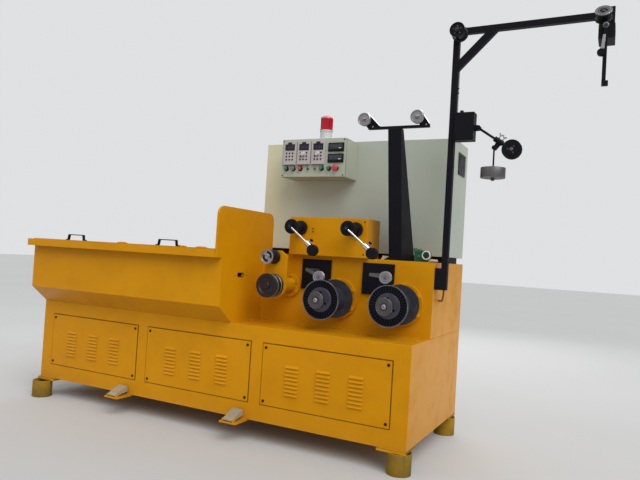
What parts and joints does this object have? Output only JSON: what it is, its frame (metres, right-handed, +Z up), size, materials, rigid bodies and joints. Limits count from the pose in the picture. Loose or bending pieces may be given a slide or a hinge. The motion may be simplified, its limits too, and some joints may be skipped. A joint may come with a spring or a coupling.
{
  "type": "wire drawing machine",
  "caption": "Wet wire drawing machine: lidded water tank, headstock with two take-up spools, capstan and tension arms, control cabinet, beacon, and a mast with a jib and weighted arm.",
  "frame": {"origin": "centre of the bounding box at floor level, under the feet", "axes": "+Z up, +X along the machine towards the jib, +Y from the operator's side to the back"},
  "size_m": [3.155, 1.03, 2.147],
  "materials": {
    "yellow_paint": "gloss",
    "black_paint": "semi-gloss",
    "black_plastic": "satin",
    "grey_green_paint": "satin",
    "foot_paint": "matte with overspray",
    "spool_plastic": "satin",
    "worn_steel": "dark, worn",
    "bright_steel": "turned",
    "pulley_aluminium": "polished",
    "keypad_plastic": "matte",
    "button_plastic": "gloss",
    "white_plastic": "gloss",
    "red_lens": "gloss, translucent",
    "green_paint": "gloss",
    "lead_sheath": "matte",
    "pedal_grey": "painted, matte"
  },
  "bodies": {
    "frame": {"base_cabinet": "yellow_paint", "front_panels": "yellow_paint", "feet_and_shelves": "foot_paint", "tank_trough": "yellow_paint", "tank_left_end": "yellow_paint", "tank_end_plate": "yellow_paint", "headstock": "yellow_paint", "capstan_bracket": "yellow_paint", "spindle_housings": "yellow_paint", "traverse_plates": "black_paint", "tension_box": "yellow_paint", "column": "black_paint", "cross_bar": "black_paint", "mast": "black_paint", "jib": "black_paint", "jib_head": "worn_steel", "dancer_box": "black_paint", "mast_leads": "lead_sheath", "fixed_pins": "bright_steel", "electrical_cabinet": "grey_green_paint", "cabinet_plinth": "black_paint", "side_vent": "black_plastic", "control_box": "grey_green_paint", "keypads": "keypad_plastic", "panel_meters": "keypad_plastic", "push_buttons": "button_plastic", "beacon_base": "white_plastic", "beacon_dome": "red_lens", "oil_valve": "green_paint"},
    "lid_left": {"tank_lid_left": "yellow_paint"},
    "lid_right": {"tank_lid_right": "yellow_paint"},
    "take_up_left": {"spool_left": "spool_plastic", "spindle_left": "bright_steel"},
    "take_up_right": {"spool_right": "spool_plastic", "spindle_right": "bright_steel"},
    "capstan": {"capstan": "worn_steel"},
    "guide_roller": {"guide_roller": "spool_plastic"},
    "tension_roller_left": {"tension_roller_left": "black_plastic"},
    "tension_roller_right": {"tension_roller_right": "black_plastic"},
    "tension_arm_left": {"tension_arm_left": "bright_steel"},
    "tension_arm_right": {"tension_arm_right": "bright_steel"},
    "arm_wheel_left": {"arm_wheel_left": "black_plastic"},
    "arm_wheel_right": {"arm_wheel_right": "black_plastic"},
    "traverse_left": {"traverse_left": "bright_steel"},
    "traverse_right": {"traverse_right": "bright_steel"},
    "traverse_pulley_left": {"traverse_pulley_left": "pulley_aluminium"},
    "traverse_pulley_right": {"traverse_pulley_right": "pulley_aluminium"},
    "bar_pulley_left": {"bar_pulley_left": "pulley_aluminium"},
    "bar_pulley_right": {"bar_pulley_right": "pulley_aluminium"},
    "mast_wheel": {"mast_wheel": "black_plastic"},
    "head_pulley": {"head_pulley": "pulley_aluminium"},
    "head_arm": {"head_arm": "black_plastic"},
    "dancer_arm": {"dancer_arm": "black_paint"},
    "dancer_pulley": {"dancer_pulley": "black_plastic"},
    "weight_hanger": {"weight_hanger": "bright_steel"},
    "pedal_left": {"pedal_left": "pedal_grey"},
    "pedal_right": {"pedal_right": "pedal_grey"}
  },
  "joints": [
    {"name": "lid_left_hinge", "type": "hinge", "parent": "frame", "child": "lid_left", "pos_m": [-1.2265, 0.165, 0.973], "axis": [-1, 0, 0], "range_deg": [0, 90]},
    {"name": "lid_right_hinge", "type": "hinge", "parent": "frame", "child": "lid_right", "pos_m": [-0.5325, 0.165, 0.973], "axis": [-1, 0, 0], "range_deg": [0, 90]},
    {"name": "take_up_left_spin", "type": "hinge", "parent": "frame", "child": "take_up_left", "pos_m": [0.3175, -0.207, 0.747], "axis": [0, 1, 0], "continuous": true},
    {"name": "take_up_right_spin", "type": "hinge", "parent": "frame", "child": "take_up_right", "pos_m": [0.6735, -0.207, 0.747], "axis": [0, 1, 0], "continuous": true},
    {"name": "capstan_spin", "type": "hinge", "parent": "frame", "child": "capstan", "pos_m": [0.0205, -0.293, 0.796], "axis": [0, 1, 0], "continuous": true},
    {"name": "guide_roller_spin", "type": "hinge", "parent": "frame", "child": "guide_roller", "pos_m": [0.0135, -0.291, 0.945], "axis": [0, 1, 0], "continuous": true},
    {"name": "tension_roller_left_spin", "type": "hinge", "parent": "frame", "child": "tension_roller_left", "pos_m": [0.0895, -0.175, 1.11], "axis": [0, 1, 0], "continuous": true},
    {"name": "tension_roller_right_spin", "type": "hinge", "parent": "frame", "child": "tension_roller_right", "pos_m": [0.4135, -0.175, 1.11], "axis": [0, 1, 0], "continuous": true},
    {"name": "tension_arm_left_swing", "type": "hinge", "parent": "frame", "child": "tension_arm_left", "pos_m": [0.0895, -0.242, 1.11], "axis": [0, -1, 0], "range_deg": [0, 50]},
    {"name": "arm_wheel_left_spin", "type": "hinge", "parent": "tension_arm_left", "child": "arm_wheel_left", "pos_m": [0.24237, -0.262, 0.99056], "axis": [0, 1, 0], "continuous": true},
    {"name": "tension_arm_right_swing", "type": "hinge", "parent": "frame", "child": "tension_arm_right", "pos_m": [0.4135, -0.242, 1.11], "axis": [0, -1, 0], "range_deg": [0, 50]},
    {"name": "arm_wheel_right_spin", "type": "hinge", "parent": "tension_arm_right", "child": "arm_wheel_right", "pos_m": [0.56637, -0.262, 0.99056], "axis": [0, 1, 0], "continuous": true},
    {"name": "traverse_left_slide", "type": "slide", "parent": "frame", "child": "traverse_left", "axis": [0, 1, 0], "range_m": [-0.045, 0.045]},
    {"name": "traverse_pulley_left_spin", "type": "hinge", "parent": "traverse_left", "child": "traverse_pulley_left", "pos_m": [0.26667, -0.221, 0.85703], "axis": [0, 1, 0], "continuous": true},
    {"name": "traverse_right_slide", "type": "slide", "parent": "frame", "child": "traverse_right", "axis": [0, 1, 0], "range_m": [-0.045, 0.045]},
    {"name": "traverse_pulley_right_spin", "type": "hinge", "parent": "traverse_right", "child": "traverse_pulley_right", "pos_m": [0.62806, -0.221, 0.87864], "axis": [0, 1, 0], "continuous": true},
    {"name": "bar_pulley_left_spin", "type": "hinge", "parent": "frame", "child": "bar_pulley_left", "pos_m": [0.4475, -0.174, 1.67], "axis": [0, 1, 0], "continuous": true},
    {"name": "bar_pulley_right_spin", "type": "hinge", "parent": "frame", "child": "bar_pulley_right", "pos_m": [0.7265, -0.174, 1.67], "axis": [0, 1, 0], "continuous": true},
    {"name": "mast_wheel_spin", "type": "hinge", "parent": "frame", "child": "mast_wheel", "pos_m": [0.8875, -0.098, 2.097], "axis": [0, 1, 0], "continuous": true},
    {"name": "head_pulley_spin", "type": "hinge", "parent": "frame", "child": "head_pulley", "pos_m": [1.5285, -0.10645, 2.09568], "axis": [0, -0.8387, 0.5446], "continuous": true},
    {"name": "head_arm_swing", "type": "hinge", "parent": "frame", "child": "head_arm", "pos_m": [1.5415, -0.14, 2.034], "axis": [0, 1, 0], "range_deg": [-30, 30]},
    {"name": "dancer_arm_swing", "type": "hinge", "parent": "frame", "child": "dancer_arm", "pos_m": [0.9955, -0.04, 1.632], "axis": [0, -1, 0], "range_deg": [0, 50]},
    {"name": "dancer_pulley_spin", "type": "hinge", "parent": "dancer_arm", "child": "dancer_pulley", "pos_m": [1.16115, -0.062, 1.51815], "axis": [0, 1, 0], "continuous": true},
    {"name": "weight_hanger_swing", "type": "hinge", "parent": "dancer_arm", "child": "weight_hanger", "pos_m": [1.07921, -0.062, 1.52957], "axis": [0, 1, 0], "range_deg": [-10, 50]},
    {"name": "pedal_left_press", "type": "hinge", "parent": "frame", "child": "pedal_left", "pos_m": [-0.8665, -0.45, 0.118], "axis": [-1, 0, 0], "range_deg": [0, 6], "stiffness_Nm_per_rad": 5, "springref_deg": -11.46},
    {"name": "pedal_right_press", "type": "hinge", "parent": "frame", "child": "pedal_right", "pos_m": [-0.0765, -0.45, 0.118], "axis": [-1, 0, 0], "range_deg": [0, 6], "stiffness_Nm_per_rad": 5, "springref_deg": -11.46}
  ]
}
